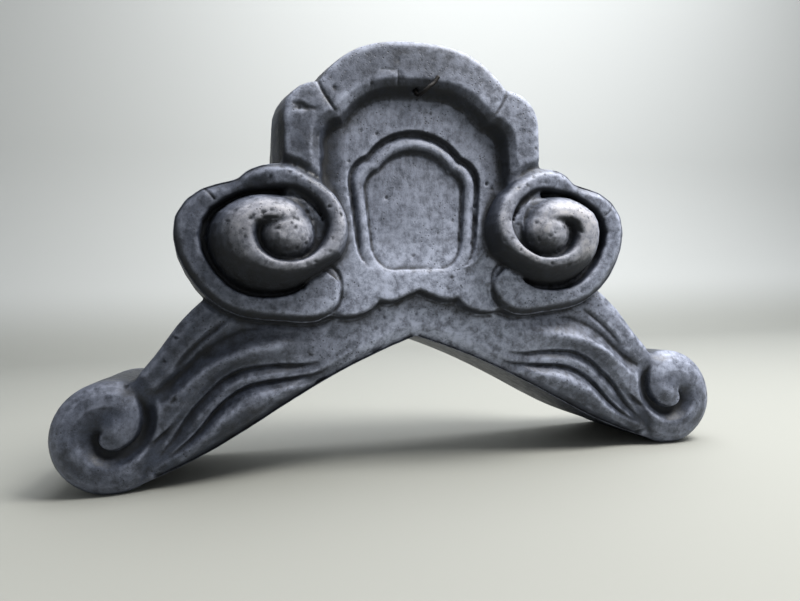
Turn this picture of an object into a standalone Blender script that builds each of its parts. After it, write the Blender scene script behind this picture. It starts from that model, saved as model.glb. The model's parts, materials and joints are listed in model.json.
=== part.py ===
"""Roof end tile: one piece of fired clay with a lobed dome, a pair of cloud swirls,
a scalloped apron and two spread legs that end in curled feet, open behind.

Metres, +Z up, front towards -Y, origin under the middle of the tile on the ground.
The face is drawn in millimetres on a sheet of DRAWN_WIDTH x DRAWN_HEIGHT, x from the
middle and z from the ground, and is scaled to the tile's own width and height.
"""

import math

import bmesh
import bpy
from mathutils import Vector

# Overall sizes
TILE_WIDTH = 0.500          # over both curled feet
TILE_HEIGHT = 0.312         # ground to the crown of the dome's front edge
LEG_DEPTH = 0.107           # back plane to the flat face of the legs

# Rise of each part of the face over the face of the legs
FIELD_RISE = 0.010          # recess floor and apron
PLATE_RISE = 0.014          # flat band of the swirls
RIM_RISE = 0.022            # band round the dome
CREST_RISE = 0.039          # crest and ball of the swirls
FOOT_RISE = 0.006           # middle of the curled feet
GROOVE_FLOOR = 0.002        # bottom of the swirl's deep groove
MEDALLION_GROOVE = 0.0065   # depth of the groove round the medallion
RING_DEPTH = 0.0006         # crest of the medallion's ring below the recess floor
RING_SHOULDER = 0.0018      # where the ring's rounded top turns down
PANEL_GROOVE = 0.0072       # depth of the line round the oval panel
PANEL_DEPTH = 0.0052        # depth of the oval panel below the recess floor

# Walls, edges and drafts
WALL = 0.019                # clay left round the open back
FRONT_WALL = 0.024          # clay left behind the leg face
EDGE_ROUND = 0.0035         # worn front edges
BEVEL_WIDTH = 0.006         # bevel along the inner edge of the rim
BEVEL_DEPTH = 0.0035
FLARE_DEPTH = 0.034         # how far back the side walls flare out
DOME_FLARE = 0.007          # how much the dome widens over that depth
SWIRL_FLARE = 0.003
APRON_FLARE = 0.003
FOOT_FLAT = 0.001           # clay worn off under each foot
OVERRUN = 0.006             # how far a cutter or a buried part runs past a face

# Tie wire, bent out of a hole in the recess wall
WIRE_RADIUS = 0.0012
WIRE_HOLE_RADIUS = 0.0022
WIRE_GAP = 0.0004

# The drawing sheet
DRAWN_WIDTH = 500.0
DRAWN_HEIGHT = 312.0

# Half widths and arcs of the three dome outlines: side, shoulder lobe and crown lobe.
# Each is (side foot, side top, shoulder centre, shoulder radius, crown centre z, crown radius).
DOME_OUTER = ((93.5, 150), (94, 236), (68.5, 251), 25.5, 216.4, 91.6)
RECESS_EDGE = ((70, 140), (70, 222), (54, 236.5), 15.5, 198.5, 77)
RECESS_FLOOR_EDGE = ((66, 140), (64.5, 218), (48, 233), 13.5, 200.5, 67)
SHOULDER_STEPS = 6
CROWN_STEPS = 8
CROWN_FULLNESS = 3          # how far the crown swells past a true arc near its notches

# Medallion: arcs of its outer edge, and the shares that give the ring and the oval panel
MEDALLION_CROWN = (204, 44)             # centre z and radius
MEDALLION_SHOULDER = ((31, 210), 19.5)
MEDALLION_CORNER = ((24, 164), 22)
MEDALLION_MIDDLE = 190
GROOVE_SHARES = (0.95, 0.95, 0.985)     # across, above and below the middle
RING_OUTER_SHARES = (0.885, 0.87, 0.97)
RING_SHARES = (0.83, 0.81, 0.95)
RING_INNER_SHARES = (0.765, 0.755, 0.925)
PANEL_GROOVE_SHARES = (0.72, 0.71, 0.9)
PANEL_SHARES = (0.685, 0.675, 0.88)
RING_FADE = 0.3             # the groove fades out over this share of the medallion's height
GROOVE_KEPT = 0.1           # what is left of it at the bottom
PANEL_KEPT = 0.55

# Scalloped edge of the apron, from the middle cusp out under the swirl's tail
APRON_SMALL_LOBE = ((0, 130), (11, 125.5), (21, 122.3), (29.5, 123.5))
APRON_BIG_LOBE = ((29.5, 123.5), (35, 117.5), (46, 113), (58, 113), (70, 117))
FIELD_SIDE = 78
FIELD_CROWN = (196, 78)                 # centre z and radius of the buried top of the field

# Swirl: centre of its ball, and tables over the angle along the spiral in degrees. The angle
# starts at the tail, at the lower inner side, and runs round the outer side and inwards.
BALL_CENTRE = (94, 170)
BALL_RADIUS = 19.5
CORE_RADIUS = 26
TAIL_ANGLE = 202
BAND_START = 222            # the tail of the band lies level with the field up to here
TURN = 360
COIL_END = 900
SWIRL_OUTLINE = ((202, 40.5), (216, 51), (232, 59.5), (248, 63.5), (276, 58.5), (310, 65),
                 (340, 70), (360, 74), (375, 73), (390, 65), (406, 52.5), (413, 50),
                 (420, 51.5), (440, 50), (460, 48), (477, 44.7), (510, 43.5), (540, 43),
                 (562, 40.5))
COIL_OUTLINE = ((562, 40.5), (581, 34.7), (606, 32.5), (648, 35), (676, 40.5), (694, 45.5),
                (723, 47), (738, 46), (751, 42), (771, 36), (793, 30), (830, 25), (865, 22),
                (900, 19))
INNER_EDGE = ((222, 36), (232, 34.6), (243, 33.6), (252, 37), (286, 43), (309, 49), (334, 53),
              (363, 57), (381, 52.5), (394, 46), (411, 40), (427, 34), (463, 31), (491, 29),
              (525, 27), (558, 22.5), (593, 20), (630, 17.5), (704, 18.5), (738, 17),
              (760, 10), (800, 6), (900, 5))
# Crest height as a share of the way from the plate to the highest crest
CREST_CLIMB = ((222, -0.02), (270, 0), (400, 0.03), (416, 0.14), (432, 0.34), (448, 0.46),
               (470, 0.53), (500, 0.63), (540, 0.76), (580, 0.85), (630, 0.92), (700, 0.98),
               (760, 1), (800, 0.97), (835, 0.86), (870, 0.68), (900, 0.5))
CREST_PLACE = ((222, 0.5), (440, 0.5), (480, 0.56), (510, 0.62), (540, 0.47), (565, 0.32),
               (590, 0.22), (830, 0.24), (900, 0.4))
FLATNESS = ((222, 8), (430, 6), (470, 4), (520, 3), (570, 2.4), (900, 2.2))
SKIRT_SHARE = 0.7           # how much of the deep groove the coil's spreading foot fills
GAP_FLOOR = 0.62            # height of the gap round the ball, as a share of CREST_RISE
SWIRL_STEP = 10             # degrees between cross sections of the spiral
BASE_STEP = 10
CIRCLE_STEPS = 24           # sides of a round outline
FOOT_DROP = 0.0013          # the band's foot lies this far under the floor of the groove

# Legs: flow lines from the middle of the tile to the foot, at seven stations, and the rise of
# each line there in millimetres. The order runs from the lower edge to the outer edge.
LEG_LINES = (
    ("lower edge", ((0, 97.5), (30, 86), (60, 72.5), (95, 54), (128, 35), (158, 19.5), (200, 3)),
     (-3.5, -3.5, -3.5, -3.5, -3.5, -3.5, -3.5)),
    ("lower shoulder", ((0, 101.5), (32, 90), (62, 76.3), (97, 58.5), (130, 40), (160, 23.5), (200, 6)),
     (0, 0, 0, 1.2, 2, 1.5, -0.6)),
    ("lower swelling", ((0, 104), (32, 92), (63, 77.5), (98, 64), (132, 51), (158, 32), (200, 9)),
     (0, 0, 0, 2.5, 4, 3, 0.1)),
    ("lower groove", ((0, 108), (32, 97), (64, 79), (97, 71), (130, 64), (155, 41), (200, 13)),
     (0, 0, -1.5, -4.5, -5, -4.5, -1.5)),
    ("middle ridge", ((0, 111), (33, 100), (66, 81), (100, 76.3), (134, 69.7), (158.5, 47), (200, 17)),
     (0, 0, 0, 2.5, 3, 2.5, 1)),
    ("upper groove", ((0, 114), (34, 103), (67, 83), (103, 81.5), (138, 75), (162, 52), (200, 21)),
     (0, 0, -1.5, -3, -3.5, -3.5, -1.2)),
    ("upper swelling", ((0, 122), (36, 114), (70, 99), (108, 95), (143, 85), (165, 68), (200, 38)),
     (0, 0, 0.5, 4.5, 6, 5, 0.5)),
    ("valley", ((0, 130), (38, 124), (74, 112), (118, 108), (147, 96), (172, 74), (200, 55)),
     (0, 0, -0.5, -1.5, -2, -2, -1)),
    ("border step", ((0, 134), (38, 129), (76, 119), (122, 116), (151, 101), (174, 78), (200, 60)),
     (0, 0, 0, 0.5, 0.5, 0.5, -0.2)),
    ("border", ((0, 150), (40, 146), (80, 141), (128, 135), (156, 115), (180, 90), (200, 67)),
     (0, 0, 0, 0, 0, 0, -0.9)),
    ("outer edge", ((0, 160), (40, 156), (80, 151), (132, 140), (162, 118.5), (184.5, 90), (200, 72)),
     (-3.5, -3.5, -3.5, -3.5, -3.5, -3.5, -3.5)),
)
GROOVE_HALF = 2.2           # half width of the two leg grooves
LEG_STEPS = 17              # cross sections of each leg
LOWER_GROOVE_LINE = 3
UPPER_GROOVE_LINE = 5

# Feet: disc and the crescent groove that hooks round its knob
FOOT_CENTRE = (212, 38.3)
FOOT_RADIUS = 38
FOOT_PROFILE = ((0.3, 1.0), (0.6, 0.95), (0.8, 0.6), (0.92, 0.0), (1.0, -0.8))
CRESCENT = ((193, 69), (189.5, 58), (188.5, 47), (192, 37), (199, 29.5), (208, 26), (216, 28),
            (221, 34), (221.5, 40), (217.5, 44))
CRESCENT_RADIUS = (2, 4.5, 5.5, 5, 4, 3.4, 3, 2.8, 2.6, 1.8)
FOOT_STEPS = 40
FOOT_BLEND = (178, 194)     # the disc comes out of the leg between these
FOOT_SUNK = -0.003

# Open back: how far out it reaches
LEG_HOLLOW_STATIONS = (0, 0.15, 0.3, 0.45, 0.6, 0.74)
LOWER_WALL_SHARE = 1.12     # the legs' lower wall is this much thicker
SWIRL_HOLLOW = ((118, 165), 32)
DOME_HOLLOW_FOOT = 127      # the dome's hollow opens into that of the legs here

TILE_DEPTH = LEG_DEPTH + CREST_RISE
BACK_Y = TILE_DEPTH / 2


def clear_scene():
    """Remove the objects that the file opens with."""
    for old in list(bpy.data.objects):
        bpy.data.objects.remove(old, do_unlink=True)


def make_material(name, colour, roughness, metallic):
    """Give a Principled material with one colour."""
    material = bpy.data.materials.new(name)
    material.use_nodes = True
    shader = material.node_tree.nodes["Principled BSDF"]
    shader.inputs["Base Color"].default_value = (*colour, 1.0)
    shader.inputs["Roughness"].default_value = roughness
    shader.inputs["Metallic"].default_value = metallic
    material.diffuse_color = (*colour, 1.0)
    return material


def across(x):
    """Turn a drawn x into metres."""
    return x * TILE_WIDTH / DRAWN_WIDTH


def upward(z):
    """Turn a drawn z into metres, with the worn-off clay below the ground."""
    return z * TILE_HEIGHT / DRAWN_HEIGHT - FOOT_FLAT


def spot(x, z, rise):
    """Point of the tile at a drawn place and a rise over the leg face."""
    return Vector((across(x), BACK_Y - LEG_DEPTH - rise, upward(z)))


def value_at(table, key):
    """Smooth value between the (key, value) pairs of a table."""
    keys = [pair[0] for pair in table]
    values = [pair[1] for pair in table]
    last = len(table) - 1
    if key <= keys[0]:
        return values[0]
    if key >= keys[last]:
        return values[last]
    i = max(n for n in range(last) if keys[n] <= key)

    def slope(n):
        before, after = max(n - 1, 0), min(n + 1, last)
        return (values[after] - values[before]) / (keys[after] - keys[before])

    span = keys[i + 1] - keys[i]
    t = (key - keys[i]) / span
    return ((2 * t ** 3 - 3 * t ** 2 + 1) * values[i] + (t ** 3 - 2 * t ** 2 + t) * span * slope(i)
            + (3 * t ** 2 - 2 * t ** 3) * values[i + 1] + (t ** 3 - t ** 2) * span * slope(i + 1))


def point_at(points, t):
    """Point at the share t of the way along a smooth curve through points."""
    key = t * (len(points) - 1)
    return tuple(value_at([(n, point[axis]) for n, point in enumerate(points)], key)
                 for axis in range(len(points[0])))


def smooth_run(points, steps):
    """Evenly spread points on a smooth curve through the given ones, both ends kept."""
    return [point_at(points, n / steps) for n in range(steps + 1)]


def full_circle(centre, radius, count=CIRCLE_STEPS):
    """Evenly spread points round a whole circle."""
    return arc(centre, radius, 0, 360 - 360 / count, count - 1)


def arc(centre, radius, start, end, steps):
    """Points on an arc, angles in degrees from +x towards +z."""
    points = []
    for n in range(steps + 1):
        angle = math.radians(start + (end - start) * n / steps)
        points.append((centre[0] + radius * math.cos(angle), centre[1] + radius * math.sin(angle)))
    return points


def mirrored(half):
    """Close a right half, given from the bottom to the top, with its mirror image."""
    left = [(-x, z) for x, z in reversed(half) if abs(x) > 1e-6]
    return half + left


def moved_out(outline, distance):
    """Move a closed counter-clockwise outline outwards, in drawn millimetres."""
    moved = []
    count = len(outline)
    for n in range(count):
        before, here, after = outline[n - 1], outline[n], outline[(n + 1) % count]
        into = Vector((here[1] - before[1], before[0] - here[0])).normalized()
        away = Vector((after[1] - here[1], here[0] - after[0])).normalized()
        out = (into + away).normalized()
        reach = distance / max(out.dot(into), 0.5)
        moved.append((here[0] + out.x * reach, here[1] + out.y * reach))
    return moved


def drawn_length(metres):
    """Turn a real length into drawn millimetres."""
    return metres * DRAWN_WIDTH / TILE_WIDTH


def ring(outline, rise):
    """Lift a drawn outline to a rise over the leg face."""
    return [spot(x, z, rise) for x, z in outline]


def add_object(name, mesh_source):
    """Put a bmesh into the scene as a form or tool, with its faces outwards."""
    bmesh.ops.remove_doubles(mesh_source, verts=mesh_source.verts, dist=1e-6)
    bmesh.ops.recalc_face_normals(mesh_source, faces=mesh_source.faces)
    mesh = bpy.data.meshes.new(name)
    mesh_source.to_mesh(mesh)
    mesh_source.free()
    made = bpy.data.objects.new(name, mesh)
    bpy.context.scene.collection.objects.link(made)
    made.hide_render = True
    made.display_type = "WIRE"
    return made


def loft(name, rings):
    """Solid through rings of equal length, with a flat cap on the first and the last."""
    shape = bmesh.new()
    rows = [[shape.verts.new(point) for point in points] for points in rings]
    count = len(rows[0])
    for row, following in zip(rows, rows[1:]):
        for n in range(count):
            after = (n + 1) % count
            shape.faces.new((row[n], row[after], following[after], following[n]))
    shape.faces.new(rows[0])
    shape.faces.new(reversed(rows[-1]))
    shape.normal_update()
    bmesh.ops.triangulate(shape, faces=shape.faces)
    return add_object(name, shape)


def box(name, low, high):
    """Closed box between two corners."""
    shape = bmesh.new()
    bmesh.ops.create_cube(shape, size=1.0)
    middle = (Vector(low) + Vector(high)) / 2
    size = Vector(high) - Vector(low)
    bmesh.ops.scale(shape, vec=size, verts=shape.verts)
    bmesh.ops.translate(shape, vec=middle, verts=shape.verts)
    return add_object(name, shape)


def combine(target, others, operation):
    """Add one exact Boolean for each of the other objects."""
    for other in others:
        step = target.modifiers.new(other.name, "BOOLEAN")
        step.operation = operation
        step.solver = "EXACT"
        step.object = other
    return target


def flip(outline):
    """Mirror a closed outline and keep its direction."""
    return [(-x, z) for x, z in reversed(outline)]


def notch(shoulder, shoulder_radius, crown_z, crown_radius):
    """Angles on a shoulder arc and a crown arc of the upper point where the two meet."""
    apart = math.hypot(shoulder[0], shoulder[1] - crown_z)
    along = (crown_radius ** 2 - shoulder_radius ** 2 + apart ** 2) / (2 * apart)
    lift = math.sqrt(max(crown_radius ** 2 - along ** 2, 0))
    x = (along * shoulder[0] - lift * (shoulder[1] - crown_z)) / apart
    z = crown_z + (along * (shoulder[1] - crown_z) + lift * shoulder[0]) / apart
    return (math.degrees(math.atan2(z - shoulder[1], x - shoulder[0])),
            math.degrees(math.atan2(z - crown_z, x)))


def lobed_half(shape, grow=0.0):
    """Right half of a dome outline: side, shoulder lobe and half of the crown lobe."""
    foot, top, shoulder, shoulder_radius, crown_z, crown_radius = shape
    shoulder_radius += grow
    crown_radius += grow
    shoulder_end, crown_start = notch(shoulder, shoulder_radius, crown_z, crown_radius)
    side = [(foot[0] + grow, foot[1]), (top[0] + grow, top[1])]
    lobe = arc(shoulder, shoulder_radius, 0, shoulder_end, SHOULDER_STEPS)
    crown = arc((0, crown_z), crown_radius, crown_start, 90, CROWN_STEPS)
    reach = crown[0][0]
    full = [(x, z + CROWN_FULLNESS * 6.75 * (x / reach) ** 2 * (1 - x / reach)) for x, z in crown]
    return side + lobe + full[1:]


def dome():
    """Dome with its rim, cut back to below the recess floor."""

    def lobes(shape, grow, rise):
        return ring(mirrored(lobed_half(shape, drawn_length(grow))), rise)

    body = loft("dome_form", [
        lobes(DOME_OUTER, -EDGE_ROUND, RIM_RISE),
        lobes(DOME_OUTER, -EDGE_ROUND * 0.3, RIM_RISE - EDGE_ROUND * 0.3),
        lobes(DOME_OUTER, 0, RIM_RISE - EDGE_ROUND),
        lobes(DOME_OUTER, DOME_FLARE, RIM_RISE - FLARE_DEPTH),
        lobes(DOME_OUTER, DOME_FLARE, -LEG_DEPTH - 1.4 * OVERRUN)])
    recess = loft("recess_cut", [
        lobes(RECESS_EDGE, BEVEL_WIDTH * (1 + OVERRUN / BEVEL_DEPTH), RIM_RISE + OVERRUN),
        lobes(RECESS_EDGE, 0, RIM_RISE - BEVEL_DEPTH),
        lobes(RECESS_FLOOR_EDGE, 0, FIELD_RISE - OVERRUN)])
    return combine(body, [recess], "DIFFERENCE")


def medallion_half(grow=0.0):
    """Right half of the medallion's outer edge, from the bottom to the top."""
    crown_z, crown_radius = MEDALLION_CROWN
    shoulder, shoulder_radius = MEDALLION_SHOULDER
    corner, corner_radius = MEDALLION_CORNER
    shoulder_radius += grow
    crown_radius += grow
    corner_radius += grow
    bottom = corner[1] - corner_radius
    shoulder_end, crown_start = notch(shoulder, shoulder_radius, crown_z, crown_radius)
    return ([(0, bottom), (corner[0] / 2, bottom)] + arc(corner, corner_radius, -90, 0, 6)
            + arc(shoulder, shoulder_radius, -10, shoulder_end, 6)
            + arc((0, crown_z), crown_radius, crown_start, 90, 8)[1:])


def drawn_in(outline, shares):
    """Draw a medallion outline in towards its middle, by shares across, above and below."""
    side, above, below = shares
    return [(x * side, MEDALLION_MIDDLE + (z - MEDALLION_MIDDLE)
             * (above if z > MEDALLION_MIDDLE else below)) for x, z in outline]


def medallion_cut():
    """Tool for the lobed groove, the ring ridge and the sunk oval panel."""
    outer = mirrored(medallion_half())
    low = min(z for _, z in outer)
    high = max(z for _, z in outer)

    def fading(outline, depth, kept):
        lifted = []
        for (x, z), (_, place) in zip(outline, outer):
            share = min(max((place - low) / (RING_FADE * (high - low)), 0), 1)
            share = kept + (1 - kept) * share * share * (3 - 2 * share)
            lifted.append(spot(x, z, FIELD_RISE - depth * share))
        return lifted

    return loft("medallion_cut", [
        ring(mirrored(medallion_half(drawn_length(OVERRUN) * 0.2)), FIELD_RISE + OVERRUN),
        fading(drawn_in(outer, GROOVE_SHARES), MEDALLION_GROOVE, GROOVE_KEPT),
        fading(drawn_in(outer, RING_OUTER_SHARES), RING_SHOULDER, GROOVE_KEPT),
        ring(drawn_in(outer, RING_SHARES), FIELD_RISE - RING_DEPTH),
        fading(drawn_in(outer, RING_INNER_SHARES), RING_SHOULDER, PANEL_KEPT),
        fading(drawn_in(outer, PANEL_GROOVE_SHARES), PANEL_GROOVE, PANEL_KEPT),
        fading(drawn_in(outer, PANEL_SHARES), PANEL_DEPTH, PANEL_KEPT)])


def field():
    """Recess floor that runs down to the scalloped apron, with the medallion cut in it."""
    small = smooth_run(APRON_SMALL_LOBE, 6)
    big = smooth_run(APRON_BIG_LOBE, 8)
    crown_z, crown_radius = FIELD_CROWN
    half = small + big[1:] + [(FIELD_SIDE, big[-1][1] + 8)]
    half += arc((0, crown_z), crown_radius, 0, 90, 10)
    outline = mirrored(half)
    edge = drawn_length(EDGE_ROUND)
    body = loft("field_form", [
        ring(moved_out(outline, -edge * 0.7), FIELD_RISE),
        ring(moved_out(outline, -edge * 0.2), FIELD_RISE - EDGE_ROUND * 0.3),
        ring(outline, FIELD_RISE - EDGE_ROUND),
        ring(moved_out(outline, drawn_length(APRON_FLARE)), -OVERRUN)])
    return combine(body, [medallion_cut()], "DIFFERENCE")


def round_ball(angle, radius):
    """Drawn place at an angle in degrees and a drawn radius round the swirl's ball."""
    turn = math.radians(angle)
    return (BALL_CENTRE[0] + radius * math.cos(turn), BALL_CENTRE[1] + radius * math.sin(turn))


def spiral_section(angle, side):
    """Cross section of the swirl's band at an angle, from its inner foot over the crest."""
    inner = value_at(INNER_EDGE, angle)
    outer = value_at(SWIRL_OUTLINE if angle <= TAIL_ANGLE + TURN else COIL_OUTLINE, angle)
    climb = value_at(CREST_CLIMB, angle)
    crest = PLATE_RISE + (CREST_RISE - PLATE_RISE) * climb
    top = inner + (outer - inner) * value_at(CREST_PLACE, angle)
    power = 2 / value_at(FLATNESS, angle)
    outer_foot = GROOVE_FLOOR - FOOT_DROP
    skirt = 0
    if angle > BAND_START + TURN:
        skirt = max(value_at(INNER_EDGE, angle - TURN) - outer, 0) * SKIRT_SHARE
    inner_foot = outer_foot + max(climb, 0) * (CREST_RISE * GAP_FLOOR - GROOVE_FLOOR)
    section = [(inner, -OVERRUN)]
    for n in range(5, 0, -1):
        turn = math.radians(18 * n)
        section.append((top + (inner - top) * math.sin(turn) ** power,
                        inner_foot + (crest - inner_foot) * math.cos(turn) ** power))
    section.append((top, crest))
    for n in range(1, 7):
        turn = math.radians(15 * n)
        height = max(math.cos(turn), 0) ** power
        section.append((top + (outer - top) * math.sin(turn) ** power + skirt * (1 - height) ** 2,
                        outer_foot + (crest - outer_foot) * height))
    section.append((outer + skirt, -OVERRUN))
    return [spot(side * x, z, rise)
            for (x, z), rise in ((round_ball(angle, radius), rise) for radius, rise in section)]


def swirl(side):
    """Parts of one swirl: backing, spiral band, core and ball."""
    hand = "right" if side > 0 else "left"
    turns = [TAIL_ANGLE + n * BASE_STEP for n in range(TURN // BASE_STEP)]
    outline = [round_ball(angle, value_at(SWIRL_OUTLINE, angle)) for angle in turns]
    if side < 0:
        outline = flip(outline)
    flare = drawn_length(SWIRL_FLARE)
    backing = loft(f"swirl_backing_{hand}", [
        ring(moved_out(outline, 0.5), GROOVE_FLOOR),
        ring(moved_out(outline, flare), PLATE_RISE - FLARE_DEPTH),
        ring(moved_out(outline, flare), -LEG_DEPTH - 1.8 * OVERRUN)])
    count = round((COIL_END - BAND_START) / SWIRL_STEP)
    band = loft(f"swirl_band_{hand}", [
        spiral_section(BAND_START + (COIL_END - BAND_START) * n / count, side)
        for n in range(count + 1)])
    middle = (side * BALL_CENTRE[0], BALL_CENTRE[1])
    gap = CREST_RISE * GAP_FLOOR
    core = loft(f"swirl_core_{hand}", [
        ring(full_circle(middle, CORE_RADIUS), gap),
        ring(full_circle(middle, CORE_RADIUS), -OVERRUN)])
    lump = bmesh.new()
    bmesh.ops.create_uvsphere(lump, u_segments=24, v_segments=12, radius=1.0)
    radius = across(BALL_RADIUS)
    bmesh.ops.scale(lump, vec=(radius, CREST_RISE - gap * 0.8, radius), verts=lump.verts)
    bmesh.ops.translate(lump, vec=spot(*middle, gap * 0.8), verts=lump.verts)
    ball = add_object(f"swirl_ball_{hand}", lump)
    return [backing, band, core, ball]


def leg_section(share):
    """Cross section of the right leg at a share of its length, lower edge first."""
    line = [(*point_at(places, share), value_at(list(enumerate(rises)), share * (len(rises) - 1)))
            for _, places, rises in LEG_LINES]
    section = []
    for n, (x, z, rise) in enumerate(line):
        if n in (LOWER_GROOVE_LINE, UPPER_GROOVE_LINE):
            for neighbour in (line[n - 1], None, line[n + 1]):
                if neighbour is None:
                    section.append((x, z, rise))
                    continue
                reach = Vector((neighbour[0] - x, neighbour[1] - z))
                near = min(GROOVE_HALF / max(reach.length, 0.1), 0.6)
                section.append((x + reach.x * near, z + reach.y * near,
                                neighbour[2] + (rise - neighbour[2]) * 0.15))
        else:
            section.append((x, z, rise))
    return section


def legs():
    """Both legs and the bridge between them, swept from foot to foot."""
    rings = []
    for n in range(-LEG_STEPS, LEG_STEPS + 1):
        side = -1 if n < 0 else 1
        section = leg_section(abs(n) / LEG_STEPS)
        points = [spot(side * x, z, rise / 1000) for x, z, rise in section]
        low, high = section[0], section[-1]
        points.append(spot(side * high[0], high[1], -FLARE_DEPTH))
        points.append(spot(side * high[0], high[1], -LEG_DEPTH - OVERRUN))
        points.append(spot(side * low[0], low[1], -LEG_DEPTH - OVERRUN))
        rings.append(points)
    return loft("tile_body", rings)


def foot(side):
    """One curled foot: a worn round disc with the crescent groove cut into it."""
    hand = "right" if side > 0 else "left"
    middle = (side * FOOT_CENTRE[0], FOOT_CENTRE[1])

    def circle(share, rise):
        points = []
        for x, z in full_circle(middle, FOOT_RADIUS * share, FOOT_STEPS):
            out = min(max((abs(x) - FOOT_BLEND[0]) / (FOOT_BLEND[1] - FOOT_BLEND[0]), 0), 1)
            points.append(spot(x, z, FOOT_SUNK + (rise - FOOT_SUNK) * out))
        return points

    disc = loft(f"foot_{hand}", [circle(share, FOOT_RISE * height) for share, height in FOOT_PROFILE]
                + [ring(full_circle(middle, FOOT_RADIUS, FOOT_STEPS), -LEG_DEPTH - 2.2 * OVERRUN)])
    steps = 20
    path = smooth_run(CRESCENT, steps)
    sizes = smooth_run([(value,) for value in CRESCENT_RADIUS], steps)
    rings = []
    for n, (x, z) in enumerate(path):
        before, after = path[max(n - 1, 0)], path[min(n + 1, steps)]
        run = Vector((after[0] - before[0], after[1] - before[1])).normalized()
        radius = sizes[n][0]
        points = []
        for k in range(12):
            turn = math.radians(30 * k)
            reach = radius * math.cos(turn)
            points.append(spot(side * (x + run.y * reach), z - run.x * reach,
                               FOOT_RISE * 0.7 + radius * 1.4 * math.sin(turn) / 1000))
        rings.append(points)
    return disc, loft(f"crescent_cut_{hand}", rings)


def hollow_cuts():
    """Tools for the open back: inside the dome, the legs and each swirl."""
    wall = drawn_length(WALL)
    half = lobed_half(DOME_OUTER, -wall)
    inside = mirrored([(half[0][0], DOME_HOLLOW_FOOT)] + half[1:])
    back = -LEG_DEPTH - 4 * OVERRUN
    cuts = [loft("dome_hollow", [ring(inside, -FRONT_WALL), ring(inside, back)])]
    lower, upper = LEG_LINES[0][1], LEG_LINES[-1][1]
    half_low, half_high = [], []
    for share in LEG_HOLLOW_STATIONS:
        low, high = Vector(point_at(lower, share)), Vector(point_at(upper, share))
        across_leg = (high - low).normalized()
        half_low.append(tuple(low + across_leg * wall * LOWER_WALL_SHARE))
        half_high.append(tuple(high - across_leg * wall))
    channel = mirrored(half_low + list(reversed(half_high)))
    cuts.append(loft("leg_hollow", [ring(channel, -FRONT_WALL), ring(channel, back)]))
    (x, z), radius = SWIRL_HOLLOW
    for side, hand in ((-1, "left"), (1, "right")):
        circle = full_circle((side * x, z), radius)
        cuts.append(loft(f"swirl_hollow_{hand}", [ring(circle, -FRONT_WALL * 0.9), ring(circle, back)]))
    return cuts


def wire_path():
    """Points of the tie wire: out of its hole, over the bevel and along the rim."""
    clear = WIRE_RADIUS + WIRE_GAP
    edge = RIM_RISE - BEVEL_DEPTH
    return [spot(1.0, 276.0, edge - 0.004), spot(1.3, 270.5, edge - 0.003),
            spot(2.5, 267.5, edge + 0.002), spot(5, 268.5, RIM_RISE + clear * 1.6),
            spot(8.5, 273.5, RIM_RISE + clear * 2.2), spot(12, 279, RIM_RISE + clear * 1.8),
            spot(16, 284, RIM_RISE + clear * 1.2)]


def wire_hole():
    """Tool for the short blind hole in the recess wall that the wire comes out of."""
    start, end = wire_path()[0], wire_path()[1]
    along_hole = (end - start).normalized()
    shape = bmesh.new()
    bmesh.ops.create_cone(shape, cap_ends=True, segments=12, radius1=WIRE_HOLE_RADIUS,
                          radius2=WIRE_HOLE_RADIUS, depth=(end - start).length + 0.004)
    turn = Vector((0, 0, 1)).rotation_difference(along_hole).to_matrix()
    bmesh.ops.rotate(shape, cent=(0, 0, 0), matrix=turn, verts=shape.verts)
    bmesh.ops.translate(shape, vec=(start + end) / 2, verts=shape.verts)
    return add_object("wire_hole_cut", shape)


def tie_wire(material):
    """Stub of the iron wire that tied the tile to its roof."""
    curve = bpy.data.curves.new("tie_wire", "CURVE")
    curve.dimensions = "3D"
    curve.bevel_depth = WIRE_RADIUS
    curve.bevel_resolution = 2
    curve.use_fill_caps = True
    spline = curve.splines.new("POLY")
    points = smooth_run([tuple(point) for point in wire_path()], 24)
    spline.points.add(len(points) - 1)
    for place, point in zip(spline.points, points):
        place.co = (*point, 1.0)
    made = bpy.data.objects.new("tie_wire", curve)
    bpy.context.scene.collection.objects.link(made)
    curve.materials.append(material)
    return made


def tile_body(material):
    """The clay body: every form joined, then opened behind and trimmed flat."""
    body = legs()
    forms = [dome(), field()] + swirl(-1) + swirl(1)
    tools = [wire_hole()]
    for side in (-1, 1):
        disc, crescent = foot(side)
        forms.append(disc)
        tools.append(crescent)
    tools += hollow_cuts()
    reach = max(TILE_WIDTH, TILE_HEIGHT)
    tools.append(box("back_trim", (-reach, BACK_Y, -reach), (reach, BACK_Y + 5 * OVERRUN, 2 * reach)))
    tools.append(box("ground_trim", (-reach, -reach, -reach), (reach, reach, 0)))
    combine(body, forms, "UNION")
    combine(body, tools, "DIFFERENCE")
    body.hide_render = False
    body.display_type = "TEXTURED"
    body.data.materials.append(material)
    return body


def main():
    """Build the tile body and its tie wire."""
    clear_scene()
    clay = make_material("smoked_clay", (0.10, 0.10, 0.115), 0.62, 0.0)
    iron = make_material("black_iron_wire", (0.02, 0.018, 0.018), 0.6, 0.6)
    tile_body(clay)
    tie_wire(iron)


main()
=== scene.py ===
"""The looks of a smoked clay roof end tile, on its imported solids.

The body is a fine mesh grown from the solid: remeshed, softened, then worked over with the
strokes, pits, chips and wear that the hand and the weather left. Lengths on the tile's face are
in drawn millimetres, x from the middle and z from the ground, as in the part's own source, and
rises are over the flat face of the legs.
"""

from __future__ import annotations

import json
import logging
import math
from dataclasses import dataclass
from enum import Enum

import bmesh
import bpy
import numpy as np
from mathutils import Matrix, Vector, noise

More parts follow.
